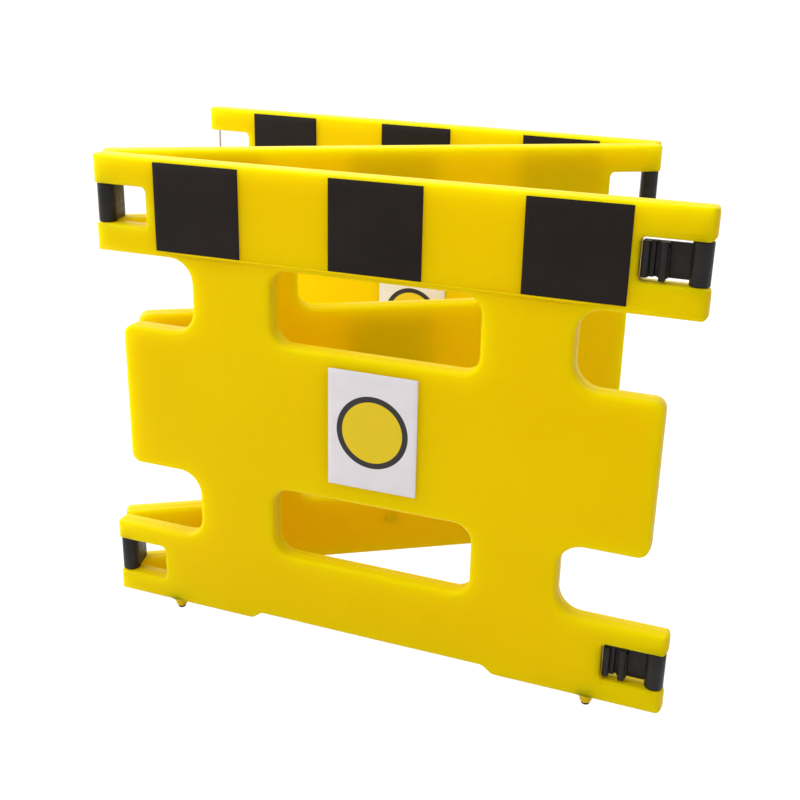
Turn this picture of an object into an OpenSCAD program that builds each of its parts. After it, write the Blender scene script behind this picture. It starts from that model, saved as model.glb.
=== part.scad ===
// Folding barrier of three hollow panels joined end to end by pinned links.
// Millimetres. +X runs along the front panel, +Y to the back and +Z up.
// Left and right are as seen from the front. The origin is the middle of the part's base.

// Piece to draw: all, or one name from the list above

/* [Panel] */
// Length of one panel
panel_w = 651.5; // [560:0.5:900]
// Thickness of the top band
band_t = 26; // [24:0.5:40]
// Thickness of the panel below the band
body_t = 24.5; // [18:0.5:38]
// Height of the top band
band_h = 103.5; // [85:0.5:160]
// Height of each row of openings
opening_h = 81.2; // [60:0.1:140]
// Height of the middle field
field_h = 164.8; // [140:0.1:260]
// Height of the bottom rail
rail_h = 90.5; // [75:0.5:150]
// Distance of the middle field's ends inside the panel's ends
field_inset = 28.4; // [10:0.1:60]
// Depth of the side notches from the panel's ends
notch_deep = 118.2; // [80:0.1:140]
// Wall of the hollow moulding
wall = 3; // [1.5:0.1:5]
// Length of the solid end round the pins
solid_end = 27; // [20:1:40]
// Corner radius of the panel's ends seen from above
end_r = 11.5; // [6:0.5:12]
// Rounding along the top and bottom edges
edge_r = 4.5; // [2:0.5:6]
// Corner radius of the band and the rail seen from the front
row_corner_r = 8; // [4:0.5:14]
// Corner radius of the middle field
field_corner_r = 12; // [4:0.5:20]
// Fillet where the core meets the band, the field and the rail
neck_r = 26; // [5:1:30]

/* [Windows and arch] */
// Length of the two windows
window_w = 230; // [120:1:280]
// Corner radius of the windows
window_r = 20; // [5:1:30]
// Length of the raised part of the underside
arch_w = 267; // [150:1:360]
// Rise of the underside
arch_rise = 8.7; // [2:0.1:20]
// Run of the slope at each end of the raised part
ramp_w = 11.5; // [5:0.5:30]

/* [Slots and pins] */
// Height of the end slots
slot_h = 42; // [30:0.5:60]
// Room between a swinging clip and the slot's inner wall
slot_clear = 3.4; // [0.4:0.1:6]
// Corner radius at the inner end of a slot
slot_corner_r = 6; // [2:0.5:12]
// Drop of the upper slots below the band's middle
slot_drop = 0.5; // [0:0.5:5]
// Rise of the lower slots above the rail's middle
slot_rise = 1; // [0:0.5:5]
// Diameter of the steel pins
pin_d = 3.2; // [2:0.1:6]
// Distance of the pins from the panel's end
pin_inset = 11; // [10:0.1:16]
// Depth of a pin in the plastic above its slot
pin_grip = 15; // [8:0.5:22]

/* [Panel links] */
// Distance between the two pins of a panel link
link_pitch = 28; // [27:0.5:45]
// Thickness of a panel link
link_t = 19.6; // [10:0.2:22]
// Play of a link above and below in its slot
link_play = 0.4; // [0.3:0.1:1]
// Radial play of a bore on its pin
bore_gap = 0.06; // [0.02:0.01:0.1]

/* [Clip links] */
// Distance from the pin to the seat of the clip
clip_pitch = 40; // [34:0.5:44]
// Diameter of the barrel on the pin
barrel_d = 19.4; // [12:0.2:24]
// Height of the web and the clip
clip_h = 33.5; // [20:0.5:40]
// Thickness of the web
web_t = 4.2; // [2:0.1:6]
// Thickness of each jaw
jaw_t = 7.5; // [4:0.5:8]
// Gap between the jaws
jaw_gap = 6.4; // [5:0.2:12]
// Reach of the jaws in front of the seat's axis
jaw_reach = 8.5; // [5:0.5:12]
// Plastic in front of the seat's axis
seat_lip = 2.5; // [2:0.1:5]
// Width of the snap opening of the seat
throat_w = 2.8; // [1.5:0.1:5]

/* [Feet] */
// Height of the panel above the floor
foot_h = 14; // [10:0.5:40]
// Distance of the feet from the panel's ends
foot_inset = 79; // [50:1:140]
// Diameter of the round nub that carries a foot
nub_d = 17.5; // [14:0.5:22]
// Height of the nub inside the rail
nub_root = 6; // [4:0.5:10]
// Height of the rubber foot below the nub
tip_h = 3; // [1.8:0.1:4]
// Diameter of the rubber foot
tip_d = 12; // [8:0.2:12.6]
// Rounding of the rubber foot
tip_round = 2.2; // [0.5:0.1:2.8]
// Diameter of the rubber foot's stem
stem_d = 6; // [4:0.5:7]
// Depth of the rubber foot's stem in the nub
stem_h = 9; // [4:0.5:12]

/* [Markings] */
// Width of a tape square
tape_w = 100; // [60:1:130]
// Height of a tape square
tape_h = 93; // [50:1:94]
// Distance of the outer tape squares from the nearer end of the panel
tape_inset = 72.5; // [66:0.5:100]
// Rise of the tape squares above the band's middle
tape_rise = 0.7; // [0:0.1:3]
// Thickness of the tape
tape_t = 0.3; // [0.1:0.05:0.5]
// Width of the label
label_w = 100; // [60:1:200]
// Height of the label
label_h = 130.5; // [60:0.5:140]
// Rise of the label above the field's middle
label_rise = 3.5; // [0:0.5:10]
// Thickness of the label
label_t = 0.3; // [0.1:0.05:0.5]
// Sideways shift of the tape squares and the label
mark_shift = 3; // [-10:0.5:10]

/* [Blow hole] */
// Diameter of the blow hole
hole_d = 10; // [6:0.5:16]
// Diameter of the plug's cap
cap_d = 14; // [10:0.5:22]
// Thickness of the plug's cap
cap_t = 0.8; // [0.4:0.1:1]
// Height of the plug above the rail's underside
plug_rise = 56; // [30:1:70]

/* [Fold] */
// Direction of the left links, in degrees from the front panel
left_link_angle = 107.9; // [90:0.1:180]
// Direction of the middle panel
middle_angle = 33.7; // [0:0.1:60]
// Direction of the right links
right_link_angle = 101.5; // [60:0.1:124]
// Direction of the rear panel
rear_angle = -3.8; // [-30:0.1:0]

/* [Hidden] */
// Overrun of cuts and of joined pieces
over = 1;
// Play round a pressed pin, stem or plug
hold_gap = 0.03;
// Least radius left where a wall takes up a fillet
least_r = 0.5;
facets = 96;
$fn = facets;

yellow = [0.98, 0.77, 0.09];
black = [0.07, 0.07, 0.075];
steel = [0.75, 0.76, 0.78];
white = [0.93, 0.93, 0.92];

// Heights of the rows
rail_z = foot_h;
rail_top = rail_z + rail_h;
field_z = rail_top + opening_h;
field_top = field_z + field_h;
band_z = field_top + opening_h;
top_z = band_z + band_h;
upper_slot_z = band_z + band_h / 2 - slot_drop;
lower_slot_z = rail_z + rail_h / 2 + slot_rise;

half_w = panel_w / 2;
field_w = panel_w - 2 * field_inset;
core_w = panel_w - 2 * notch_deep;
foot_x = half_w - foot_inset;
tape_pitch = half_w - tape_inset - tape_w / 2 - abs(mark_shift);
pin_x = half_w - pin_inset;
pin_r = pin_d / 2;
bore_r = pin_r + bore_gap;
barrel_r = barrel_d / 2;
link_h = slot_h - 2 * link_play;
clip_end = clip_pitch + jaw_gap / 2 + jaw_t;
slot_deep = pin_inset + norm([clip_end, barrel_r]) + slot_clear;

// Places of the panels before the origin is set
function turn(a) = [cos(a), sin(a)];
front_left = [-pin_x, 0];
middle_left = front_left + link_pitch * turn(left_link_angle);
middle_at = middle_left + pin_x * turn(middle_angle);
middle_right = middle_at + pin_x * turn(middle_angle);
rear_right = middle_right + link_pitch * turn(right_link_angle);
rear_at = rear_right - pin_x * turn(rear_angle);

// Reach of a panel along X and along Y from its middle
function reach_x(a) = abs(cos(a)) * (half_w - end_r) + abs(sin(a)) * (band_t / 2 - end_r) + end_r;
function reach_y(a) = abs(sin(a)) * (half_w - end_r) + abs(cos(a)) * (band_t / 2 - end_r) + end_r;
low_x = min(-half_w, middle_at.x - reach_x(middle_angle), rear_at.x - reach_x(rear_angle));
high_x = max(half_w, middle_at.x + reach_x(middle_angle), rear_at.x + reach_x(rear_angle));
low_y = -band_t / 2 - tape_t;
high_y = max(middle_at.y + reach_y(middle_angle), rear_at.y + reach_y(rear_angle));
origin = [(low_x + high_x) / 2, (low_y + high_y) / 2];

module at_front() {
    translate(-origin) children();
}

module at_middle() {
    translate(middle_at - origin) rotate(middle_angle + 180) children();
}

module at_rear() {
    translate(rear_at - origin) rotate(rear_angle) children();
}

// Outlines

module rounded(w, h, r) {
    square([w - 2 * r, h], center = true);
    square([w, h - 2 * r], center = true);
    for (x = [-1, 1], y = [-1, 1])
        translate([x * (w / 2 - r), y * (h / 2 - r)]) circle(r);
}

module row(w, z, h, r, inset) {
    translate([0, z + h / 2])
        rounded(w - 2 * inset, h - 2 * inset, max(r - inset, least_r));
}

module neck_fillet(inset) {
    r = neck_r + inset;
    difference() {
        translate([-over, -over]) square(r + over);
        translate([r, r]) circle(r);
    }
}

// Panel seen from the front, drawn in by the inset
module panel_outline(inset) {
    difference() {
        union() {
            row(panel_w, band_z, band_h, row_corner_r, inset);
            row(field_w, field_z, field_h, field_corner_r, inset);
            row(panel_w, rail_z, rail_h, row_corner_r, inset);
            translate([inset - core_w / 2, rail_z + rail_h / 2])
                square([core_w - 2 * inset, band_z - rail_z + (band_h - rail_h) / 2]);
            for (side = [0, 1]) mirror([side, 0]) {
                for (z = [rail_top, field_top])
                    translate([core_w / 2 - inset, z - inset]) neck_fillet(inset);
                for (z = [field_z, band_z])
                    translate([core_w / 2 - inset, z + inset]) mirror([0, 1]) neck_fillet(inset);
            }
        }
        for (z = [rail_top, field_top])
            translate([0, z + opening_h / 2])
                rounded(window_w + 2 * inset, opening_h + 2 * inset, window_r + inset);
        for (side = [-1, 1], z = [lower_slot_z, upper_slot_z])
            translate([side * (half_w + over), z])
                rounded(2 * (slot_deep + over + inset), slot_h + 2 * inset, slot_corner_r + inset);
        arch(inset);
    }
}

module arch(inset) {
    high = arch_w / 2 + inset;
    low = high + ramp_w + ramp_w / arch_rise * over;
    polygon([
        [-low, rail_z + inset - over],
        [-high, rail_z + inset + arch_rise],
        [high, rail_z + inset + arch_rise],
        [low, rail_z + inset - over]
    ]);
}

// Panel seen from its end
module side_outline(inset) {
    r = max(edge_r - inset, least_r);
    translate([0, (rail_z + top_z) / 2]) rounded(body_t - 2 * inset, top_z - rail_z - 2 * inset, r);
    translate([0, band_z + band_h / 2]) rounded(band_t - 2 * inset, band_h - 2 * inset, r);
}

module panel_form() {
    intersection() {
        rotate([90, 0, 0]) linear_extrude(height = band_t + over, center = true) panel_outline(0);
        rotate([90, 0, 90]) linear_extrude(height = panel_w + over, center = true) side_outline(0);
        linear_extrude(height = top_z + over) rounded(panel_w, band_t, end_r);
    }
}

module panel_hollow() {
    intersection() {
        rotate([90, 0, 0]) linear_extrude(height = band_t + over, center = true) panel_outline(wall);
        rotate([90, 0, 90])
            linear_extrude(height = panel_w - 2 * solid_end, center = true) side_outline(wall);
    }
}

module nub() {
    difference() {
        translate([0, 0, nub_d / 2]) {
            sphere(d = nub_d);
            cylinder(h = rail_z + nub_root - nub_d / 2, d = nub_d);
        }
        translate([0, 0, -over]) cylinder(h = tip_h + over, d = nub_d);
    }
}

// Pieces of one panel, in the panel's own place

module panel_shell() {
    color(yellow) difference() {
        union() {
            difference() {
                panel_form();
                panel_hollow();
            }
            for (side = [-1, 1]) translate([side * foot_x, 0, 0]) nub();
        }
        for (side = [-1, 1]) {
            translate([side * foot_x, 0, tip_h - over])
                cylinder(h = stem_h + over, r = stem_d / 2 + hold_gap);
            translate([side * pin_x, 0, rail_z - over])
                cylinder(h = pin_h(lower_slot_z - rail_z) + over, r = pin_r + hold_gap);
            translate([side * pin_x, 0, band_z - over])
                cylinder(h = pin_h(upper_slot_z - band_z) + over, r = pin_r + hold_gap);
        }
        translate([0, body_t / 2 + over, rail_z + plug_rise])
            rotate([90, 0, 0]) cylinder(h = wall + 2 * over, r = hole_d / 2 + hold_gap);
    }
}

function pin_h(below) = below + slot_h / 2 + pin_grip;

module upper_pin(side) {
    color(steel) translate([side * pin_x, 0, band_z]) cylinder(h = pin_h(upper_slot_z - band_z), r = pin_r);
}

module lower_pin(side) {
    color(steel) translate([side * pin_x, 0, rail_z]) cylinder(h = pin_h(lower_slot_z - rail_z), r = pin_r);
}

module foot(side) {
    color(black) translate([side * foot_x, 0, 0]) rotate_extrude() {
        intersection() {
            union() {
                square([tip_d / 2 - tip_round, tip_h]);
                translate([0, tip_round]) square([tip_d / 2, tip_h - tip_round]);
                translate([tip_d / 2 - tip_round, tip_round]) circle(tip_round);
            }
            square([tip_d / 2, tip_h]);
        }
        square([stem_d / 2, tip_h + stem_h]);
    }
}

module tape(place) {
    color(black)
        translate([
            place * tape_pitch + mark_shift - tape_w / 2,
            -band_t / 2 - tape_t,
            band_z + band_h / 2 + tape_rise - tape_h / 2
        ])
        cube([tape_w, tape_t, tape_h]);
}

module label() {
    color(white)
        translate([
            mark_shift - label_w / 2,
            -body_t / 2 - label_t,
            field_z + field_h / 2 + label_rise - label_h / 2
        ])
        cube([label_w, label_t, label_h]);
}

module blow_plug() {
    color(yellow) translate([0, body_t / 2, rail_z + plug_rise]) rotate([90, 0, 0]) {
        cylinder(h = wall, d = hole_d);
        translate([0, 0, -cap_t]) cylinder(h = cap_t, d = cap_d);
    }
}

// Links

module panel_link(from, angle, z) {
    color(black) translate([from.x - origin.x, from.y - origin.y, z]) rotate(angle)
        linear_extrude(height = link_h, center = true) difference() {
            union() {
                circle(link_t / 2);
                translate([link_pitch, 0]) circle(link_t / 2);
                translate([0, -link_t / 2]) square([link_pitch, link_t]);
            }
            circle(bore_r);
            translate([link_pitch, 0]) circle(bore_r);
        }
}

module clip_outline() {
    difference() {
        union() {
            translate([-clip_end, barrel_r - web_t]) square([clip_end, web_t]);
            for (side = [-1, 1]) translate([side * (jaw_gap + jaw_t) / 2 - clip_pitch, 0]) {
                translate([-jaw_t / 2, jaw_t / 2 - jaw_reach])
                    square([jaw_t, jaw_reach - jaw_t / 2 + barrel_r]);
                translate([0, jaw_t / 2 - jaw_reach]) circle(jaw_t / 2);
            }
            translate([-clip_pitch - (jaw_gap + jaw_t) / 2, -seat_lip])
                square([jaw_gap + jaw_t, seat_lip + barrel_r]);
        }
        translate([-clip_pitch, 0]) circle(bore_r);
        translate([-clip_pitch - throat_w / 2, -seat_lip - over]) square([throat_w, seat_lip + over]);
    }
}

module clip_link(z) {
    color(black) at_front() translate([pin_x, 0, z]) difference() {
        union() {
            linear_extrude(height = link_h, center = true) circle(barrel_r);
            linear_extrude(height = clip_h, center = true) clip_outline();
        }
        linear_extrude(height = link_h + over, center = true) circle(bore_r);
    }
}

// One module for each piece

module front_panel() { at_front() panel_shell(); }
module middle_panel() { at_middle() panel_shell(); }
module rear_panel() { at_rear() panel_shell(); }

module front_left_upper_pin() { at_front() upper_pin(-1); }
module front_left_lower_pin() { at_front() lower_pin(-1); }
module front_right_upper_pin() { at_front() upper_pin(1); }
module front_right_lower_pin() { at_front() lower_pin(1); }
module middle_left_upper_pin() { at_middle() upper_pin(1); }
module middle_left_lower_pin() { at_middle() lower_pin(1); }
module middle_right_upper_pin() { at_middle() upper_pin(-1); }
module middle_right_lower_pin() { at_middle() lower_pin(-1); }
module rear_left_upper_pin() { at_rear() upper_pin(-1); }
module rear_left_lower_pin() { at_rear() lower_pin(-1); }
module rear_right_upper_pin() { at_rear() upper_pin(1); }
module rear_right_lower_pin() { at_rear() lower_pin(1); }

module left_upper_link() { panel_link(front_left, left_link_angle, upper_slot_z); }
module left_lower_link() { panel_link(front_left, left_link_angle, lower_slot_z); }
module right_upper_link() { panel_link(middle_right, right_link_angle, upper_slot_z); }
module right_lower_link() { panel_link(middle_right, right_link_angle, lower_slot_z); }
module upper_clip_link() { clip_link(upper_slot_z); }
module lower_clip_link() { clip_link(lower_slot_z); }

module front_left_foot() { at_front() foot(-1); }
module front_right_foot() { at_front() foot(1); }
module middle_left_foot() { at_middle() foot(1); }
module middle_right_foot() { at_middle() foot(-1); }
module rear_left_foot() { at_rear() foot(-1); }
module rear_right_foot() { at_rear() foot(1); }

module front_left_tape() { at_front() tape(-1); }
module front_centre_tape() { at_front() tape(0); }
module front_right_tape() { at_front() tape(1); }
module middle_left_tape() { at_middle() tape(1); }
module middle_centre_tape() { at_middle() tape(0); }
module middle_right_tape() { at_middle() tape(-1); }
module rear_left_tape() { at_rear() tape(-1); }
module rear_centre_tape() { at_rear() tape(0); }
module rear_right_tape() { at_rear() tape(1); }

module front_label() { at_front() label(); }
module middle_label() { at_middle() label(); }
module rear_label() { at_rear() label(); }

module front_blow_plug() { at_front() blow_plug(); }
module middle_blow_plug() { at_middle() blow_plug(); }
module rear_blow_plug() { at_rear() blow_plug(); }

front_panel();
middle_panel();
rear_panel();
front_left_upper_pin();
front_left_lower_pin();
front_right_upper_pin();
front_right_lower_pin();
middle_left_upper_pin();
middle_left_lower_pin();
middle_right_upper_pin();
middle_right_lower_pin();
rear_left_upper_pin();
rear_left_lower_pin();
rear_right_upper_pin();
rear_right_lower_pin();
left_upper_link();
left_lower_link();
right_upper_link();
right_lower_link();
upper_clip_link();
lower_clip_link();
front_left_foot();
front_right_foot();
middle_left_foot();
middle_right_foot();
rear_left_foot();
rear_right_foot();
front_left_tape();
front_centre_tape();
front_right_tape();
middle_left_tape();
middle_centre_tape();
middle_right_tape();
rear_left_tape();
rear_centre_tape();
rear_right_tape();
front_label();
middle_label();
rear_label();
front_blow_plug();
middle_blow_plug();
rear_blow_plug();
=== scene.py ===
import math

import bpy
import numpy as np
from mathutils import Matrix, Vector
from mathutils.geometry import delaunay_2d_cdt


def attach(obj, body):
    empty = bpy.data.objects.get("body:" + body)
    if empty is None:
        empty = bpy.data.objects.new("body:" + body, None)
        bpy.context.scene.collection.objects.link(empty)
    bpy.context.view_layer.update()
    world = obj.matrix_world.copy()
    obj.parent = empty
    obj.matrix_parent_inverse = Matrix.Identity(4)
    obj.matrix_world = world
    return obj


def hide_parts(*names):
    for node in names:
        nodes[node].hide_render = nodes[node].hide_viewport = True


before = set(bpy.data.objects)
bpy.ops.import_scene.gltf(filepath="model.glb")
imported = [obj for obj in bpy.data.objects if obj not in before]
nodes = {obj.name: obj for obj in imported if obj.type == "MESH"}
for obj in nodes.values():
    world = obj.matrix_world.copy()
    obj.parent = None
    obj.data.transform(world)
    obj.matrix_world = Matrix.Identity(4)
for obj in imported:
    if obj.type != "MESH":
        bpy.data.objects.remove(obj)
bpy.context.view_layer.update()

# Sizes of the frame in millimetres, as in the part's source
MM = 0.001
HALF_W = 325.75
PIN_X = 314.75
BAND_HALF = 13.0
BODY_HALF = 12.25
RAIL_Z, RAIL_TOP = 14.0, 104.5
FIELD_Z, FIELD_TOP = 185.7, 350.5
BAND_Z, TOP_Z = 431.7, 535.2
FIELD_X, CORE_X = 297.35, 207.55
WINDOW_X, WINDOW_R = 115.0, 20.0
ARCH_X, ARCH_Z, RAMP = 133.5, 22.7, 11.5
SLOT_X = 259.73
LOWER_SLOT, UPPER_SLOT = 60.25, 482.95
SLOT_HALF = 21.0
FOOT_X = 246.75
PLUG_Z = 70.0
END_R = 11.5
LINK_PITCH, LINK_R, LINK_HALF = 28.0, 9.8, 20.6
CLIP_PITCH, BARREL_R, CLIP_HALF = 40.0, 9.7, 16.75
JAW_T, JAW_GAP, JAW_REACH, WEB_T = 7.5, 6.4, 8.5, 4.2
SEAT_LIP, THROAT = 2.5, 2.8
BORE_R = 1.66
TAPE_W, TAPE_Z, TAPE_TOP, TAPE_PITCH = 100.0, 438.8, 531.8, 200.25
LABEL_W, LABEL_Z, LABEL_TOP = 100.0, 206.2, 336.6
MARK_SHIFT = 3.0
ORIGIN = (-59.345, 222.370)
LEFT_LINK, MIDDLE, RIGHT_LINK, REAR = 107.9, 33.7, 101.5, -3.8

# Corner radii of the outline
ARCH_R, END_CORNER, MOUTH_R, SLOT_R, NOTCH_R, EAR_R = 10.0, 5.6, 6.4, 6.0, 26.0, 12.0

# Rounded rim with its parting ridge; FLAT_IN is where the flat faces begin
EDGE_R, FLAT_IN = 4.6, 6.0
RIM_ANGLES = (90, 72, 54, 37, 22, 9, 0)
RIDGE = 0.3
RIDGE_FOOT, RIDGE_FLANK, RIDGE_SHARE = 0.9, 0.5, 0.8

# The band's lower edge: its rounding, where it fades out, and the fine raised line over it
LEDGE_R, LEDGE_IN, LEDGE_OUT, LEDGE_FADE, LEDGE_DROP = 4.5, 92.0, 206.0, 26.0, 28.0
BEAD_Z, BEAD_X, BEAD_OVER, BEAD_UNDER, BEAD_PROUD = 437.7, 240.0, 0.9, 1.8, 0.8
BEAD_FADE, BEAD_RINGS, BEAD_SIDES = 24.0, 61, 12

# Mesh lines inside the flat faces, with the room that each keeps to the faces' borders
GRID_X, GRID_LOW, GRID_HIGH, GRID_STEP, GRID_ROOM = 318.0, 26.0, 530.0, 12.0, 3.0
END_LINES, END_LOW, END_HIGH, END_STEP = (7.2, 8.6, 10.0, 11.5, 13.0), 16.0, 536.0, 4.0
LEDGE_LINES, LEDGE_X, LEDGE_STEP = (1.7, 2.05, 2.5, 3.1, 3.8, 4.6), 232.0, 6.0
LEDGE_MID, LEDGE_REACH, LEDGE_END = 3.0, 6.0, 240.0
LINE_ROOM = 0.9

# Waves of the two faces
FRONT_SEED, BACK_SEED = 1.0, 2.0

# Tapes and label
FILM_T, FILM_SINK, FILM_BEVEL, FILM_RIM, FILM_STEP = 0.3, 0.05, 0.08, 0.15, 6.0
TAPE_CORNER, LABEL_CORNER = 0.6, 1.0

# The clip as seen: where its web begins, its seat lip and how far its outer jaw stands off
WEB_FRONT, LIP_RISE, JAW_OFF = 1.0, 0.4, 2.6

# Turned forms, as radius and height
NUB = ((0.0, 2.6), (4.3, 2.6), (5.3, 3.6), (6.2, 5.2), (6.8, 7.2), (7.2, 9.2), (7.8, 11.0),
       (8.7, 12.5), (10.0, 13.6), (11.6, 14.3), (11.8, 15.2), (8.0, 18.5), (0.0, 18.5))
FOOT = ((0.0, 0.0), (2.4, 0.0), (3.5, 0.3), (4.3, 1.0), (4.65, 1.9), (4.6, 2.7), (3.0, 3.2),
        (3.0, 11.4), (2.4, 12.0), (0.0, 12.0))
PLUG_FORM = ((0.0, 1.15), (2.0, 1.1), (4.2, 0.95), (4.5, 0.75), (4.9, 0.75), (5.2, 0.95),
             (6.3, 0.8), (6.8, 0.5), (7.0, 0.0), (7.0, -0.2), (0.0, -0.2))
SMALL_TURN = 40
SHARP = 40


def turn(angle):
    a = math.radians(angle)
    return np.array([math.cos(a), math.sin(a)])


front_left = np.array([-PIN_X, 0.0])
middle_left = front_left + LINK_PITCH * turn(LEFT_LINK)
middle_at = middle_left + PIN_X * turn(MIDDLE)
middle_right = middle_at + PIN_X * turn(MIDDLE)
rear_right = middle_right + LINK_PITCH * turn(RIGHT_LINK)
rear_at = rear_right - PIN_X * turn(REAR)


def place(at, angle, z=0.0):
    x, y = (at[0] - ORIGIN[0]) * MM, (at[1] - ORIGIN[1]) * MM
    return Matrix.Translation((x, y, z * MM)) @ Matrix.Rotation(math.radians(angle), 4, "Z")


PANELS = {
    "front": place((0.0, 0.0), 0.0),
    "middle": place(middle_at, MIDDLE + 180.0),
    "rear": place(rear_at, REAR),
}


# Mesh helpers

def make_mesh(name, points, faces):
    mesh = bpy.data.meshes.new(name)
    mesh.from_pydata([tuple(c * MM for c in p) for p in points], [], faces)
    mesh.validate()
    mesh.polygons.foreach_set("use_smooth", [True] * len(mesh.polygons))
    mesh.update()
    return mesh


def add_object(name, mesh, matrix, body, slot, material, *replaced):
    piece = bpy.data.objects.new(name, mesh)
    bpy.context.scene.collection.objects.link(piece)
    piece.matrix_world = matrix
    if not mesh.materials:
        mesh.materials.append(material)
    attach(piece, body)
    if replaced:
        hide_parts(*replaced)


def loop_points(corners, shift, spacing=30.0, arc_step=11.0):
    """Closed loop with rounded corners, the material on its left, moved into the material by shift."""
    count = len(corners)
    arcs = []
    for i in range(count):
        x, y, r = corners[i]
        p = np.array([x, y])
        before = np.array(corners[i - 1][:2])
        after = np.array(corners[(i + 1) % count][:2])
        a = (p - before) / np.linalg.norm(p - before)
        b = (after - p) / np.linalg.norm(after - p)
        na, nb = np.array([-a[1], a[0]]), np.array([-b[1], b[0]])
        side = 1.0 if a[0] * b[1] - a[1] * b[0] > 0 else -1.0
        centre = p + side * (na + nb) * r / (1 + na @ nb)
        radius = max(r - side * shift, 0.05)
        start = -side * na
        angle = math.acos(max(-1.0, min(1.0, na @ nb))) * side
        steps = max(3, int(math.ceil(abs(math.degrees(angle)) / arc_step)))
        arc = []
        for k in range(steps + 1):
            t = angle * k / steps
            c, s = math.cos(t), math.sin(t)
            spoke = np.array([c * start[0] - s * start[1], s * start[0] + c * start[1]])
            arc.append(centre + radius * spoke)
        arcs.append(arc)
    out = []
    for i in range(count):
        out.extend(arcs[i])
        base_a = np.array(corners[i][:2])
        base_b = np.array(corners[(i + 1) % count][:2])
        length = np.linalg.norm(base_b - base_a) - corners[i][2] - corners[(i + 1) % count][2]
        pieces = max(1, int(length // spacing))
        a, b = arcs[i][-1], arcs[(i + 1) % count][0]
        for k in range(1, pieces):
            out.append(a + (b - a) * k / pieces)
    return np.array(out)


def inside(points, loop):
    x, y = points[:, 0][:, None], points[:, 1][:, None]
    x0, y0 = loop[:, 0][None], loop[:, 1][None]
    x1, y1 = np.roll(loop[:, 0], -1)[None], np.roll(loop[:, 1], -1)[None]
    cross = (y0 > y) != (y1 > y)
    with np.errstate(divide="ignore", invalid="ignore"):
        at = (x1 - x0) * (y - y0) / (y1 - y0) + x0
    return (np.sum(cross & (x < at), axis=1) % 2) == 1


def distance(points, loop):
    a, b = loop, np.roll(loop, -1, axis=0)
    d = b - a
    best = np.full(len(points), 1e9)
    length = np.maximum((d ** 2).sum(1), 1e-9)
    for k in range(len(a)):
        t = np.clip(((points - a[k]) @ d[k]) / length[k], 0, 1)
        q = a[k] + t[:, None] * d[k]
        best = np.minimum(best, np.hypot(points[:, 0] - q[:, 0], points[:, 1] - q[:, 1]))
    return best


def lathe(profile, steps=48):
    """Points and faces of a turned form; the profile runs from axis to axis or closes on itself."""
    points, faces = [], []
    rows = []
    for r, h in profile:
        if r < 1e-6:
            rows.append([len(points)])
            points.append((0.0, 0.0, h))
        else:
            rows.append(list(range(len(points), len(points) + steps)))
            for k in range(steps):
                a = 2 * math.pi * k / steps
                points.append((r * math.cos(a), r * math.sin(a), h))
    for a, b in zip(rows, rows[1:]):
        for k in range(steps):
            n = (k + 1) % steps
            if len(a) == 1:
                faces.append((a[0], b[k], b[n]))
            elif len(b) == 1:
                faces.append((a[k], b[0], a[n]))
            else:
                faces.append((a[k], b[k], b[n], a[n]))
    return points, faces


def flip(faces):
    return [tuple(reversed(f)) for f in faces]


def join(*parts):
    points, faces = [], []
    for p, f in parts:
        base = len(points)
        points.extend([tuple(q) for q in p])
        faces.extend([tuple(k + base for k in g) for g in f])
    return points, faces


# The panel: outline, thickness and skin

def panel_corners():
    low, high = LOWER_SLOT - SLOT_HALF, LOWER_SLOT + SLOT_HALF
    under, over = UPPER_SLOT - SLOT_HALF, UPPER_SLOT + SLOT_HALF
    right = [
        (ARCH_X, ARCH_Z, ARCH_R), (ARCH_X + RAMP, RAIL_Z, ARCH_R), (HALF_W, RAIL_Z, END_CORNER),
        (HALF_W, low, MOUTH_R), (SLOT_X, low, SLOT_R), (SLOT_X, high, SLOT_R), (HALF_W, high, MOUTH_R),
        (HALF_W, RAIL_TOP, END_CORNER), (CORE_X, RAIL_TOP, NOTCH_R), (CORE_X, FIELD_Z, NOTCH_R),
        (FIELD_X, FIELD_Z, EAR_R), (FIELD_X, FIELD_TOP, EAR_R),
        (CORE_X, FIELD_TOP, NOTCH_R), (CORE_X, BAND_Z, NOTCH_R), (HALF_W, BAND_Z, END_CORNER),
        (HALF_W, under, MOUTH_R), (SLOT_X, under, SLOT_R), (SLOT_X, over, SLOT_R),
        (HALF_W, over, MOUTH_R), (HALF_W, TOP_Z, END_CORNER),
    ]
    left = [(-x, z, r) for x, z, r in reversed(right)]
    return right + left


def window_corners(z0, z1):
    w, r = WINDOW_X, WINDOW_R
    return [(-w, z0, r), (-w, z1, r), (w, z1, r), (w, z0, r)]


LOOPS = [panel_corners(), window_corners(RAIL_TOP, FIELD_Z), window_corners(FIELD_TOP, BAND_Z)]


def smooth(t):
    t = np.clip(t, 0.0, 1.0)
    return t * t * (3 - 2 * t)


def soft_min(a, b, k):
    return np.minimum(a, b) - np.maximum(k - np.abs(a - b), 0.0) ** 2 / (4 * k)


def full_half(x, z):
    """Half of the thickness away from the edges: the band stands a little proud of the rest."""
    ax = np.abs(x)
    u = np.clip(BAND_Z + LEDGE_R - z, 0.0, LEDGE_R)
    arc = BAND_HALF - LEDGE_R + np.sqrt(np.maximum(LEDGE_R ** 2 - u ** 2, 0.0))
    step = np.where(z > BAND_Z, np.maximum(BODY_HALF, arc), BODY_HALF)
    free = np.maximum(smooth((ax - LEDGE_OUT) / LEDGE_FADE), 1 - smooth((ax - LEDGE_IN) / LEDGE_FADE))
    free = free * smooth((z - BAND_Z + LEDGE_DROP) / LEDGE_DROP)
    return step + (BAND_HALF - step) * free


def wave(x, z, seed):
    """Slight unevenness of a moulded face."""
    a = np.sin(x / 61.0 + 1.3 * seed) * np.sin(z / 47.0 + 0.7 * seed)
    b = np.sin(x / 27.0 - z / 39.0 + 2.1 * seed)
    return 0.10 * a + 0.05 * b


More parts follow.
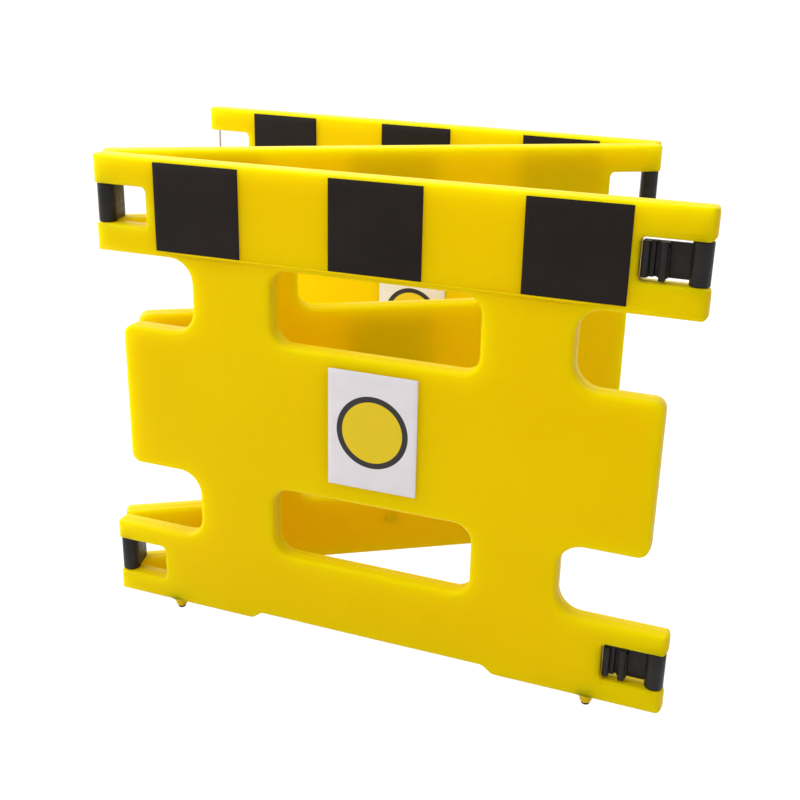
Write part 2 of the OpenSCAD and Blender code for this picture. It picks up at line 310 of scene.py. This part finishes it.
def half_at(x, z, d, seed):
    """Half of the thickness at a point that lies d inside the outline."""
    d = np.clip(d, 0.0, EDGE_R)
    edge = EDGE_R - np.sqrt(np.maximum(EDGE_R ** 2 - (EDGE_R - d) ** 2, 0.0))
    base = full_half(x, z) + wave(x, z, seed) - edge
    e = np.clip(HALF_W - np.abs(x), 0.0, END_R)
    end = BAND_HALF - END_R + np.sqrt(np.maximum(END_R ** 2 - (END_R - e) ** 2, 0.0))
    end = np.where(HALF_W - np.abs(x) >= END_R, 1e3, end)
    return soft_min(base, end, 1.2)


def panel_skin():
    """Rings round the rims of the outline and the windows, and triangles over the flat faces."""
    insets = [FLAT_IN] + [EDGE_R * (1 - math.cos(a)) for a in np.radians(RIM_ANGLES)]
    points, faces = [], []
    inner = {-1: [], 1: []}
    for corners in LOOPS:
        rings = []

        def ring(shift, side, at=None, seed=0.0):
            flat = loop_points(corners, shift)
            if at is None:
                h = half_at(flat[:, 0], flat[:, 1], np.full(len(flat), max(shift, 0.0)), seed)
                y = side * h
            else:
                y = np.full(len(flat), at)
            start = len(points)
            points.extend(zip(flat[:, 0], y, flat[:, 1]))
            return list(range(start, start + len(flat)))

        for d in insets:
            rings.append(ring(d, -1, seed=FRONT_SEED))
        rings.append(ring(0.0, 0, at=-RIDGE_FOOT))
        rings.append(ring(-RIDGE * RIDGE_SHARE, 0, at=-RIDGE_FLANK))
        rings.append(ring(-RIDGE, 0, at=0.0))
        rings.append(ring(-RIDGE * RIDGE_SHARE, 0, at=RIDGE_FLANK))
        rings.append(ring(0.0, 0, at=RIDGE_FOOT))
        for d in reversed(insets):
            rings.append(ring(d, 1, seed=BACK_SEED))
        for a, b in zip(rings, rings[1:]):
            n = len(a)
            for i in range(n):
                j = (i + 1) % n
                faces.append((b[i], b[j], a[j], a[i]))
        inner[-1].append(rings[0])
        inner[1].append(rings[-1])

    # Points inside the faces: an even grid, lines along the rounded ends and the band's lower edge
    grid = []
    for x in np.arange(-GRID_X, GRID_X + 0.1, GRID_STEP):
        for z in np.arange(GRID_LOW, GRID_HIGH, GRID_STEP):
            grid.append((x, z, GRID_ROOM))
    for e in END_LINES:
        for z in np.arange(END_LOW, END_HIGH, END_STEP):
            grid.append((HALF_W - e, z, LINE_ROOM))
            grid.append((e - HALF_W, z, LINE_ROOM))
    ledge = [round(BAND_Z + h, 2) for h in LEDGE_LINES]
    for z in ledge:
        for x in np.arange(-LEDGE_X, LEDGE_X + 0.1, LEDGE_STEP):
            grid.append((x, z, LINE_ROOM))
    grid = np.array(grid)
    flats = [loop_points(c, FLAT_IN) for c in LOOPS]
    keep = inside(grid[:, :2], flats[0])
    for f in flats[1:]:
        keep &= ~inside(grid[:, :2], f)
    grid = grid[keep]
    far = np.full(len(grid), 1e9)
    for f in flats:
        far = np.minimum(far, distance(grid[:, :2], f))
    grid = grid[far > grid[:, 2]][:, :2]
    seen = np.unique(np.round(grid, 2), axis=0)
    # Near the band's lower edge only its own lines stay
    line = np.abs(seen[:, 1] - BAND_Z - LEDGE_MID) < LEDGE_REACH
    line &= np.abs(seen[:, 0]) < LEDGE_END
    rows = np.isin(np.round(seen[:, 1], 2), ledge)
    seen = seen[~line | rows]

    flat_all = np.concatenate(flats + [seen])
    edges = []
    base = 0
    for f in flats:
        n = len(f)
        edges += [(base + i, base + (i + 1) % n) for i in range(n)]
        base += n
    cut = delaunay_2d_cdt([Vector(p) for p in flat_all], edges, [], 0, 1e-7, True)
    out_points = np.array([tuple(v) for v in cut[0]])
    origin = [o[0] for o in cut[3]]
    tris = np.array([f for f in cut[2] if len(f) == 3])
    middle = out_points[tris].mean(1)
    good = inside(middle, flats[0])
    for f in flats[1:]:
        good &= ~inside(middle, f)
    tris = tris[good]
    for side, seed in ((-1, FRONT_SEED), (1, BACK_SEED)):
        ring_ids = [k for r in inner[side] for k in r]
        h = half_at(seen[:, 0], seen[:, 1], np.full(len(seen), EDGE_R), seed)
        start = len(points)
        points.extend(zip(seen[:, 0], side * h, seen[:, 1]))
        ids = ring_ids + list(range(start, start + len(seen)))
        for t in tris:
            f = [ids[origin[k]] for k in t]
            faces.append(tuple(f) if side < 0 else tuple(reversed(f)))
    return points, faces


def nub(x):
    """The moulded stub over a foot."""
    points, faces = lathe(NUB, SMALL_TURN)
    return [(px + x, py, pz) for px, py, pz in points], flip(faces)


def bead():
    """The fine raised line along the band's lower edge, on the front under the tapes."""
    count = BEAD_SIDES
    along = np.linspace(-BEAD_X, BEAD_X, BEAD_RINGS)
    half = half_at(along, np.full(len(along), BEAD_Z), np.full(len(along), EDGE_R), FRONT_SEED)
    points, faces = [], []
    for x, y in zip(along, half):
        grow = 0.05 + 0.95 * float(smooth((BEAD_X - abs(x)) / BEAD_FADE))
        for k in range(count):
            a = 2 * math.pi * k / count
            reach = BEAD_OVER if math.cos(a) > 0 else BEAD_UNDER
            out, up = BEAD_PROUD * grow * math.sin(a), reach * grow * math.cos(a)
            points.append((x, -y - out, BEAD_Z + up))
    for i in range(len(along) - 1):
        for k in range(count):
            a, b = i * count + k, i * count + (k + 1) % count
            faces.append((a, b, b + count, a + count))
    last = len(points) - count
    faces.append(tuple(reversed(range(count))))
    faces.append(tuple(range(last, last + count)))
    return points, faces


def foot_mesh():
    points, faces = lathe(FOOT, SMALL_TURN)
    return split_edges(make_mesh("foot", points, flip(faces)))


def panel_mesh():
    points, faces = join(panel_skin(), nub(-FOOT_X), nub(FOOT_X))
    return make_mesh("panel_skin", points, faces)


# Links, clips, films and plug

def prism(corners, z0, z1, edge, arc_step=9.0, bores=()):
    """Upright prism with its top and bottom edges rounded; each bore is x, y and radius."""
    points, faces = [], []

    def ring(flat, z):
        start = len(points)
        points.extend((p[0], p[1], z) for p in flat)
        return list(range(start, start + len(flat)))

    def wall(a, b):
        for i in range(len(a)):
            j = (i + 1) % len(a)
            faces.append((a[i], a[j], b[j], b[i]))

    turns = [math.radians(a) for a in (90, 60, 30, 0)]
    stack = [(edge * (1 - math.cos(t)), z0 + edge * (1 - math.sin(t))) for t in turns]
    stack += [(edge * (1 - math.cos(t)), z1 - edge * (1 - math.sin(t))) for t in reversed(turns)]
    rings = [ring(loop_points(corners, d, 200.0, arc_step), z) for d, z in stack]
    for a, b in zip(rings, rings[1:]):
        wall(a, b)
    loops = [loop_points(corners, edge, 200.0, arc_step)]
    low, high = [rings[0]], [rings[-1]]
    for x, y, r in bores:
        spokes = np.arange(32) * math.pi / 16
        circle = np.array([(x + r * math.cos(a), y + r * math.sin(a)) for a in spokes])
        loops.append(circle)
        low.append(ring(circle, z0))
        high.append(ring(circle, z1))
        wall(high[-1], low[-1])
    edges, base = [], 0
    for loop in loops:
        n = len(loop)
        edges += [(base + i, base + (i + 1) % n) for i in range(n)]
        base += n
    cut = delaunay_2d_cdt([Vector(p) for p in np.concatenate(loops)], edges, [], 0, 1e-7, True)
    origin = [o[0] for o in cut[3]]
    flat = np.array([tuple(v) for v in cut[0]])
    low, high = sum(low, []), sum(high, [])
    for f in cut[2]:
        middle = flat[list(f)].mean(0)[None]
        in_bore = any(inside(middle, loop)[0] for loop in loops[1:])
        if inside(middle, loops[0])[0] and not in_bore:
            faces.append(tuple(high[origin[k]] for k in f))
            faces.append(tuple(reversed([low[origin[k]] for k in f])))
    return points, faces


def split_edges(mesh):
    """Marks the sharp edges so that flat faces stay flat in shade."""
    mesh.set_sharp_from_angle(angle=math.radians(SHARP))
    return mesh


def link_mesh():
    r, p = LINK_R, LINK_PITCH
    c = r - 0.01
    corners = [(-r, -r, c), (p + r, -r, c), (p + r, r, c), (-r, r, c)]
    bores = ((0.0, 0.0, BORE_R), (p, 0.0, BORE_R))
    points, faces = prism(corners, -LINK_HALF, LINK_HALF, 0.9, 7.5, bores)
    return split_edges(make_mesh("panel_link", points, faces))


def clip_mesh():
    """Web with two jaws, a barrel on its pin, and a tab and a rib on the near jaw."""
    front, back = WEB_FRONT, WEB_FRONT + WEB_T
    nose, lip, half = -JAW_REACH, LIP_RISE - SEAT_LIP, THROAT / 2
    near, far = -CLIP_PITCH + JAW_GAP / 2, -CLIP_PITCH - JAW_GAP / 2 - JAW_OFF
    tip = JAW_T / 2 - 0.05
    outline = [
        (far - JAW_T, back, 1.6), (far - JAW_T, nose, tip), (far, nose, tip), (far, lip, 0.6),
        (-CLIP_PITCH - half, lip, 0.7), (-CLIP_PITCH - half, 1.2, 0.9), (-CLIP_PITCH + half, 1.2, 0.9),
        (-CLIP_PITCH + half, lip, 0.7), (near, lip, 0.6), (near, nose, tip), (near + JAW_T, nose, tip),
        (near + JAW_T, front, 1.2), (-4.0, front, 0.5), (-4.0, back, 0.5),
    ]
    clip = prism(outline, -CLIP_HALF, CLIP_HALF, 0.6, 12.0)
    edge = 1.0
    profile = [(BORE_R, LINK_HALF), (BORE_R, -LINK_HALF)]
    for a in (90, 60, 30, 0):
        t = math.radians(a)
        profile.append((BARREL_R - edge * (1 - math.cos(t)), -LINK_HALF + edge * (1 - math.sin(t))))
    for a in (0, 30, 60, 90):
        t = math.radians(a)
        profile.append((BARREL_R - edge * (1 - math.cos(t)), LINK_HALF - edge * (1 - math.sin(t))))
    profile.append((BORE_R, LINK_HALF))
    barrel = lathe(profile, 64)
    side = near + JAW_T
    tab_corners = [
        (near + 0.3, 1.5 + nose, 1.2), (side - 1.0, 1.5 + nose, 1.2),
        (side - 1.0, 1.5, 1.2), (near + 0.3, 1.5, 1.2),
    ]
    tab = prism(tab_corners, -CLIP_HALF - 2.4, -CLIP_HALF + 1.0, 0.5)
    rib_corners = [
        (side - 1.5, nose + 3.2, 0.5), (side + 1.1, nose + 3.2, 0.5),
        (side + 1.1, front + 0.6, 0.4), (side - 1.5, front + 0.6, 0.4),
    ]
    rib = prism(rib_corners, -CLIP_HALF + 0.4, CLIP_HALF - 4.2, 0.4)
    points, faces = join(clip, (barrel[0], flip(barrel[1])), tab, rib)
    return split_edges(make_mesh("clip_link", points, faces))


def film(name, x_mid, w, z0, z1, corner):
    """A thin sheet that follows the panel's front face."""
    left, right = x_mid - w / 2, x_mid + w / 2
    corners = [(left, z0, corner), (right, z0, corner), (right, z1, corner), (left, z1, corner)]
    loop = loop_points(corners, 0.0, FILM_STEP, 20.0)
    rim = loop_points(corners, FILM_RIM, FILM_STEP, 20.0)
    grid = np.array([(x, z) for x in np.arange(left + 5, right - 4, FILM_STEP)
                     for z in np.arange(z0 + 5, z1 - 4, FILM_STEP)])
    points, faces = [], []

    def put(flat, lift):
        h = half_at(flat[:, 0], flat[:, 1], TOP_Z - flat[:, 1], FRONT_SEED)
        start = len(points)
        points.extend(zip(flat[:, 0], -(h + lift), flat[:, 1]))
        return list(range(start, start + len(flat)))

    low = put(loop, -FILM_SINK)
    mid = put(loop, FILM_T - FILM_BEVEL)
    top = put(rim, FILM_T)
    n = len(loop)
    for a, b in ((top, mid), (mid, low)):
        for i in range(n):
            j = (i + 1) % n
            faces.append((b[i], b[j], a[j], a[i]))
    both = np.concatenate([rim, grid])
    border = [(i, (i + 1) % n) for i in range(n)]
    cut = delaunay_2d_cdt([Vector(p) for p in both], border, [], 1, 1e-7, True)
    origin = [o[0] for o in cut[3]]
    ids = top + put(grid, FILM_T)
    for f in cut[2]:
        faces.append(tuple(ids[origin[k]] for k in f))
    ids = low + put(grid, -FILM_SINK)
    for f in cut[2]:
        faces.append(tuple(reversed([ids[origin[k]] for k in f])))
    return make_mesh(name, points, faces)


def plug_mesh():
    points, faces = lathe(PLUG_FORM, SMALL_TURN)
    return make_mesh("blow_plug", [(x, z, y) for x, y, z in points], faces)


# Materials

# Pairs are the two ends of a colour's variation
YELLOW_PAIR = ((0.86, 0.62, 0.0010, 1), (0.89, 0.65, 0.0013, 1))
FLECK = (0.80, 0.52, 0.001, 1)
PAINTED_FILM_SHADE = (0.60, 0.37, 0.001, 1)
BLACK_PAIR = ((0.0085, 0.0074, 0.0070, 1), (0.0140, 0.0122, 0.0116, 1))
STEEL_PAIR = ((0.42, 0.42, 0.43, 1), (0.60, 0.60, 0.61, 1))
RUBBER_PAIR = ((0.010, 0.0095, 0.009, 1), (0.022, 0.020, 0.019, 1))
TAPE_PAIR = ((0.0118, 0.0080, 0.0068, 1), (0.0160, 0.0114, 0.0098, 1))
PAPER_PAIR = ((0.82, 0.80, 0.87, 1), (0.86, 0.84, 0.91, 1))
DISC = (0.84, 0.62, 0.004, 1)
RING = (0.020, 0.018, 0.018, 1)

# Middles of the tapes and the label in metres, in the panel's own axes
TAPE_GAP, TAPE_MID, LABEL_MID = 0.2, 0.4853, 0.2714


class Tree:
    """A material's node tree, with short calls for the nodes used here."""

    def __init__(self, name):
        self.mat = bpy.data.materials.new(name)
        self.mat.use_nodes = True
        self.nodes = self.mat.node_tree.nodes
        self.links = self.mat.node_tree.links
        self.bsdf = self.nodes["Principled BSDF"]
        self.coords = self.nodes.new("ShaderNodeTexCoord").outputs["Object"]

    def put(self, socket, value):
        if isinstance(value, bpy.types.NodeSocket):
            self.links.new(value, socket)
        else:
            socket.default_value = value

    def math(self, op, a, b=None):
        node = self.nodes.new("ShaderNodeMath")
        node.operation = op
        self.put(node.inputs[0], a)
        if b is not None:
            self.put(node.inputs[1], b)
        return node.outputs[0]

    def noise(self, scale, detail=2.0, rough=0.5, vector=None):
        node = self.nodes.new("ShaderNodeTexNoise")
        self.put(node.inputs["Vector"], vector or self.coords)
        node.inputs["Scale"].default_value = scale
        node.inputs["Detail"].default_value = detail
        node.inputs["Roughness"].default_value = rough
        return node.outputs["Fac"]

    def ramp(self, value, low, high, out_low=0.0, out_high=1.0):
        node = self.nodes.new("ShaderNodeMapRange")
        node.interpolation_type = "SMOOTHSTEP"
        self.put(node.inputs["Value"], value)
        node.inputs["From Min"].default_value = low
        node.inputs["From Max"].default_value = high
        node.inputs["To Min"].default_value = out_low
        node.inputs["To Max"].default_value = out_high
        return node.outputs["Result"]

    def mix(self, factor, a, b):
        node = self.nodes.new("ShaderNodeMix")
        node.data_type = "RGBA"
        self.put(node.inputs["Factor"], factor)
        self.put(node.inputs[6], a)
        self.put(node.inputs[7], b)
        return node.outputs[2]

    def bump(self, height, strength, depth, normal=None):
        node = self.nodes.new("ShaderNodeBump")
        node.inputs["Strength"].default_value = strength
        node.inputs["Distance"].default_value = depth
        self.put(node.inputs["Height"], height)
        if normal is not None:
            self.links.new(normal, node.inputs["Normal"])
        return node.outputs["Normal"]

    def off(self, value, middle):
        """Distance of a value from a middle."""
        return self.math("ABSOLUTE", self.math("SUBTRACT", value, middle))

    def axes(self):
        node = self.nodes.new("ShaderNodeSeparateXYZ")
        self.links.new(self.coords, node.inputs[0])
        return node.outputs

    def set(self, name, value):
        self.put(self.bsdf.inputs[name], value)


def yellow_plastic(for_panel):
    """The panel's plastic lets some light through and has painted shade on its back face behind the
    films; the plug's has neither.
    """
    t = Tree("yellow_plastic" if for_panel else "yellow_plug")
    cloud = t.noise(5.0, 2.0)
    fleck = t.noise(160.0, 3.0, 0.6)
    colour = t.mix(t.ramp(cloud, 0.3, 0.7), *YELLOW_PAIR)
    colour = t.mix(t.ramp(fleck, 0.62, 0.8, 0.0, 0.10), colour, FLECK)
    if for_panel:
        # Painted shade: the back face is darkened where the tapes and the label sit on the front,
        # standing in for their shadow through the plastic
        x, y, z = t.axes()
        ax = t.off(x, MARK_SHIFT * MM)
        near = t.math("MINIMUM", t.off(ax, TAPE_GAP), ax)
        across = t.ramp(near, 0.040, 0.060, 1.0, 0.0)
        high = t.ramp(t.off(z, TAPE_MID), 0.036, 0.056, 1.0, 0.0)
        tape = t.math("MULTIPLY", across, high)
        wide = t.ramp(ax, 0.042, 0.060, 1.0, 0.0)
        tall = t.ramp(t.off(z, LABEL_MID), 0.055, 0.075, 1.0, 0.0)
        label = t.math("MULTIPLY", t.math("MULTIPLY", wide, tall), 0.4)
        on_back = t.ramp(y, 0.009, 0.011, 0.0, 0.2)
        painted_shade = t.math("MULTIPLY", t.math("MAXIMUM", tape, label), on_back)
        colour = t.mix(painted_shade, colour, PAINTED_FILM_SHADE)
    t.set("Base Color", colour)
    t.set("Roughness", t.ramp(t.noise(38.0, 3.0), 0.3, 0.7, 0.34, 0.44))
    if for_panel:
        # The rims and ends are thick, so light passes only through the flat faces
        t.set("Subsurface Weight", t.ramp(t.math("ABSOLUTE", y), 0.0070, 0.0118, 0.05, 0.92))
        t.set("Subsurface Radius", (1.0, 0.8, 0.03))
        t.set("Subsurface Scale", 0.052)
    t.set("Specular IOR Level", 0.10)
    t.set("Specular Tint", (1.0, 0.85, 0.05, 1))
    wavy = t.bump(t.noise(11.0, 1.0), 0.25, 0.0012)
    t.set("Normal", t.bump(t.noise(1400.0, 2.0, 0.6), 0.10, 0.00012, wavy))
    return t.mat


def black_plastic():
    t = Tree("black_plastic")
    t.set("Base Color", t.mix(t.ramp(t.noise(60.0, 3.0), 0.3, 0.7), *BLACK_PAIR))
    t.set("Roughness", t.ramp(t.noise(220.0, 2.0), 0.3, 0.7, 0.36, 0.50))
    t.set("Specular IOR Level", 0.24)
    t.set("Normal", t.bump(t.noise(1800.0, 2.0, 0.6), 0.16, 0.0001))
    return t.mat


def steel():
    t = Tree("steel")
    stretch = t.nodes.new("ShaderNodeMapping")
    t.links.new(t.coords, stretch.inputs["Vector"])
    stretch.inputs["Scale"].default_value = (900.0, 900.0, 25.0)
    drawn = t.noise(1.0, 3.0, 0.6, stretch.outputs["Vector"])
    t.set("Base Color", t.mix(drawn, *STEEL_PAIR))
    t.set("Metallic", 1.0)
    t.set("Roughness", t.ramp(drawn, 0.3, 0.7, 0.28, 0.42))
    t.set("Normal", t.bump(drawn, 0.2, 0.00005))
    return t.mat


def rubber():
    t = Tree("rubber")
    t.set("Base Color", t.mix(t.noise(300.0, 3.0), *RUBBER_PAIR))
    t.set("Roughness", t.ramp(t.noise(500.0, 2.0), 0.3, 0.7, 0.62, 0.80))
    t.set("Specular IOR Level", 0.3)
    t.set("Normal", t.bump(t.noise(2200.0, 2.0, 0.6), 0.3, 0.0002))
    return t.mat


def tape_film():
    t = Tree("tape")
    t.set("Base Color", t.mix(t.ramp(t.noise(16.0, 3.0), 0.3, 0.7), *TAPE_PAIR))
    t.set("Roughness", t.ramp(t.noise(120.0, 3.0), 0.3, 0.7, 0.42, 0.56))
    t.set("Specular IOR Level", 0.12)
    wavy = t.bump(t.noise(24.0, 1.0), 0.15, 0.0008)
    t.set("Normal", t.bump(t.noise(2600.0, 2.0, 0.6), 0.10, 0.00008, wavy))
    return t.mat


def label_film():
    """White film with a plain disc in a ring."""
    t = Tree("label")
    x, _, z = t.axes()
    up = t.math("SUBTRACT", z, LABEL_MID)
    x = t.math("SUBTRACT", x, MARK_SHIFT * MM)
    far = t.math("SQRT", t.math("ADD", t.math("MULTIPLY", x, x), t.math("MULTIPLY", up, up)))
    paper = t.mix(t.ramp(t.noise(40.0, 3.0), 0.3, 0.7), *PAPER_PAIR)
    dot = t.ramp(far, 0.0340, 0.0343, 1.0, 0.0)
    ring = t.math("MULTIPLY", t.ramp(far, 0.0337, 0.0340), t.ramp(far, 0.0400, 0.0403, 1.0, 0.0))
    colour = t.mix(dot, paper, DISC)
    colour = t.mix(ring, colour, RING)
    t.set("Base Color", colour)
    t.set("Roughness", t.ramp(t.noise(90.0, 2.0), 0.3, 0.7, 0.36, 0.46))
    t.set("Specular IOR Level", 0.35)
    t.set("Normal", t.bump(t.noise(28.0, 1.0), 0.12, 0.0006))
    return t.mat


YELLOW = yellow_plastic(True)
PLAIN_YELLOW = yellow_plastic(False)
BLACK = black_plastic()
STEEL = steel()
RUBBER = rubber()
TAPE = tape_film()
LABEL = label_film()


# The pieces

skin = panel_mesh()
tapes = {}
for where, place_x in (("left", -TAPE_PITCH), ("centre", 0.0), ("right", TAPE_PITCH)):
    tapes[where] = film("tape_" + where, place_x + MARK_SHIFT, TAPE_W, TAPE_Z, TAPE_TOP, TAPE_CORNER)
label = film("label_film", MARK_SHIFT, LABEL_W, LABEL_Z, LABEL_TOP, LABEL_CORNER)
plug = plug_mesh()
foot = foot_mesh()
band_line = make_mesh("band_line", *bead())
OTHER = {"left": "right", "right": "left", "centre": "centre"}
for name, matrix in PANELS.items():
    body = name + "_panel"
    add_object(name + "_panel_skin", skin, matrix, body, "yellow_plastic", YELLOW, body)
    # The middle panel faces the back, so its left and right are the other way round
    for where, mesh in tapes.items():
        seen = OTHER[where] if name == "middle" else where
        add_object("%s_%s_tape_film" % (name, seen), mesh, matrix, body, "tape", TAPE,
                   "%s_%s_tape" % (name, seen))
    add_object(name + "_label_film", label, matrix, body, "label", LABEL, name + "_label")
    for where, foot_x in (("left", -FOOT_X), ("right", FOOT_X)):
        seen = OTHER[where] if name == "middle" else where
        spot = matrix @ Matrix.Translation((foot_x * MM, 0.0, 0.0))
        add_object("%s_%s_foot_tip" % (name, seen), foot, spot, body, "rubber", RUBBER,
                   "%s_%s_foot" % (name, seen))
    lift = Matrix.Translation((0.0, BODY_HALF * MM, PLUG_Z * MM))
    add_object(name + "_band_line", band_line, matrix, body, "yellow_plastic", PLAIN_YELLOW)
    add_object(name + "_plug", plug, matrix @ lift, body, "yellow_plastic", PLAIN_YELLOW,
               name + "_blow_plug")

link = link_mesh()
for side, at, angle in (("left", front_left, LEFT_LINK), ("right", middle_right, RIGHT_LINK)):
    for row, z in (("upper", UPPER_SLOT), ("lower", LOWER_SLOT)):
        add_object("%s_%s_link_block" % (side, row), link, place(at, angle, z), side + "_links",
                   "black_plastic", BLACK, "%s_%s_link" % (side, row))

clip = clip_mesh()
for row, z in (("upper", UPPER_SLOT), ("lower", LOWER_SLOT)):
    add_object(row + "_clip_block", clip, place((PIN_X, 0.0), 0.0, z), row + "_clip_link",
               "black_plastic", BLACK, row + "_clip_link")

for name, node in nodes.items():
    if name.endswith("_pin"):
        for slot in node.material_slots:
            slot.material = STEEL


# Floor, light and camera

FLOOR_HALF, FLOOR_CELLS = 60.0, 24
FLOOR_BOUNCE = (0.78, 0.68, 0.64, 1)
FLOOR_SHADE = (0.20, 0.20, 0.20, 1)
FLOOR_GLOW = 0.95
WHITE = (1.0, 1.0, 1.0, 1)
ROOM_LEFT, ROOM_RIGHT = 1.07, 0.17
LENS = 51.3605
EYE_AT = (0.486867, -1.249599, 0.717624)
EYE_TURN = (69.6119, -1.2073, 21.6637)


def white_for_camera(tree):
    """1 for rays from the camera and for those that a glossy or clear surface sends on, else 0."""
    path = tree.nodes.new("ShaderNodeLightPath")
    first = tree.nodes.new("ShaderNodeMath")
    first.operation = "MAXIMUM"
    tree.links.new(path.outputs["Is Camera Ray"], first.inputs[0])
    tree.links.new(path.outputs["Is Glossy Ray"], first.inputs[1])
    second = tree.nodes.new("ShaderNodeMath")
    second.operation = "MAXIMUM"
    tree.links.new(first.outputs[0], second.inputs[0])
    tree.links.new(path.outputs["Is Transmission Ray"], second.inputs[1])
    return second.outputs[0]


def make_floor():
    mesh = bpy.data.meshes.new("floor")
    size, n = FLOOR_HALF, FLOOR_CELLS
    line = [-size + 2 * size * i / n for i in range(n + 1)]
    points = [(x, y, 0.0) for x in line for y in line]
    row = n + 1
    faces = [(i * row + j, (i + 1) * row + j, (i + 1) * row + j + 1, i * row + j + 1)
             for i in range(n) for j in range(n)]
    mesh.from_pydata(points, [], faces)
    floor = bpy.data.objects.new("floor", mesh)
    bpy.context.scene.collection.objects.link(floor)
    mat = bpy.data.materials.new("floor")
    mat.use_nodes = True
    tree = mat.node_tree
    tree.nodes.clear()
    seen = white_for_camera(tree)
    out = tree.nodes.new("ShaderNodeOutputMaterial")
    plain = tree.nodes.new("ShaderNodeBsdfDiffuse")
    plain.inputs["Color"].default_value = FLOOR_BOUNCE
    soft = tree.nodes.new("ShaderNodeBsdfDiffuse")
    soft.inputs["Color"].default_value = FLOOR_SHADE
    glow = tree.nodes.new("ShaderNodeEmission")
    glow.inputs["Color"].default_value = WHITE
    glow.inputs["Strength"].default_value = FLOOR_GLOW
    both = tree.nodes.new("ShaderNodeAddShader")
    tree.links.new(soft.outputs[0], both.inputs[0])
    tree.links.new(glow.outputs[0], both.inputs[1])
    mix = tree.nodes.new("ShaderNodeMixShader")
    tree.links.new(seen, mix.inputs["Fac"])
    tree.links.new(plain.outputs[0], mix.inputs[1])
    tree.links.new(both.outputs[0], mix.inputs[2])
    tree.links.new(mix.outputs[0], out.inputs["Surface"])
    mesh.materials.append(mat)


def make_world():
    world = bpy.data.worlds.new("studio")
    bpy.context.scene.world = world
    world.use_nodes = True
    tree = world.node_tree
    tree.nodes.clear()
    seen = white_for_camera(tree)
    out = tree.nodes.new("ShaderNodeOutputWorld")
    room = tree.nodes.new("ShaderNodeBackground")
    room.inputs["Color"].default_value = WHITE
    # The room is brighter on the left
    way = tree.nodes.new("ShaderNodeSeparateXYZ")
    tree.links.new(tree.nodes.new("ShaderNodeTexCoord").outputs["Generated"], way.inputs[0])
    side = tree.nodes.new("ShaderNodeMapRange")
    side.inputs["From Min"].default_value = -1.0
    side.inputs["From Max"].default_value = 1.0
    side.inputs["To Min"].default_value = ROOM_LEFT
    side.inputs["To Max"].default_value = ROOM_RIGHT
    tree.links.new(way.outputs["X"], side.inputs["Value"])
    tree.links.new(side.outputs["Result"], room.inputs["Strength"])
    white = tree.nodes.new("ShaderNodeBackground")
    white.inputs["Color"].default_value = WHITE
    white.inputs["Strength"].default_value = 1.0
    mix = tree.nodes.new("ShaderNodeMixShader")
    tree.links.new(seen, mix.inputs["Fac"])
    tree.links.new(room.outputs[0], mix.inputs[1])
    tree.links.new(white.outputs[0], mix.inputs[2])
    tree.links.new(mix.outputs[0], out.inputs["Surface"])


def softbox(name, at, target, size, power, colour):
    light = bpy.data.lights.new(name, "AREA")
    light.shape = "RECTANGLE"
    light.size, light.size_y = size
    light.energy = power
    light.color = colour
    lamp = bpy.data.objects.new(name, light)
    bpy.context.scene.collection.objects.link(lamp)
    lamp.location = at
    lamp.rotation_euler = (Vector(target) - Vector(at)).to_track_quat("-Z", "Y").to_euler()


make_floor()
make_world()
aim = (0.0, 0.0, 0.25)
softbox("key_left", (-1.7, -1.5, 1.2), aim, (1.4, 1.4), 7.5, (1.0, 1.0, 0.98))
softbox("front_top", (-0.5, -0.8, 1.25), (-0.1, -0.1, 0.5), (1.0, 0.5), 1.6, (0.85, 1.0, 0.95))
softbox("side_left", (-2.0, 0.3, 0.8), aim, (1.4, 1.4), 8.0, (0.94, 1.0, 0.93))
softbox("top", (0.0, 0.1, 1.9), aim, (2.6, 2.0), 10.0, (0.90, 1.0, 0.97))
softbox("top_left", (-1.0, 0.1, 1.7), aim, (1.6, 1.6), 12.0, (0.90, 1.0, 0.97))
softbox("top_right", (1.0, 0.0, 1.7), aim, (1.6, 1.6), 6.0, (0.92, 1.0, 0.97))
softbox("back_left", (-1.2, 1.2, 1.3), aim, (1.4, 1.4), 4.0, (0.92, 1.0, 0.91))
softbox("back_right", (0.8, 1.5, 1.5), aim, (1.4, 1.4), 5.0, (0.92, 1.0, 0.91))

camera = bpy.data.cameras.new("camera")
camera.sensor_width = 36.0
camera.lens = LENS
camera.clip_end = 100.0
eye = bpy.data.objects.new("camera", camera)
bpy.context.scene.collection.objects.link(eye)
eye.location = EYE_AT
eye.rotation_euler = [math.radians(a) for a in EYE_TURN]
bpy.context.scene.camera = eye
bpy.context.scene.view_settings.view_transform = "Standard"
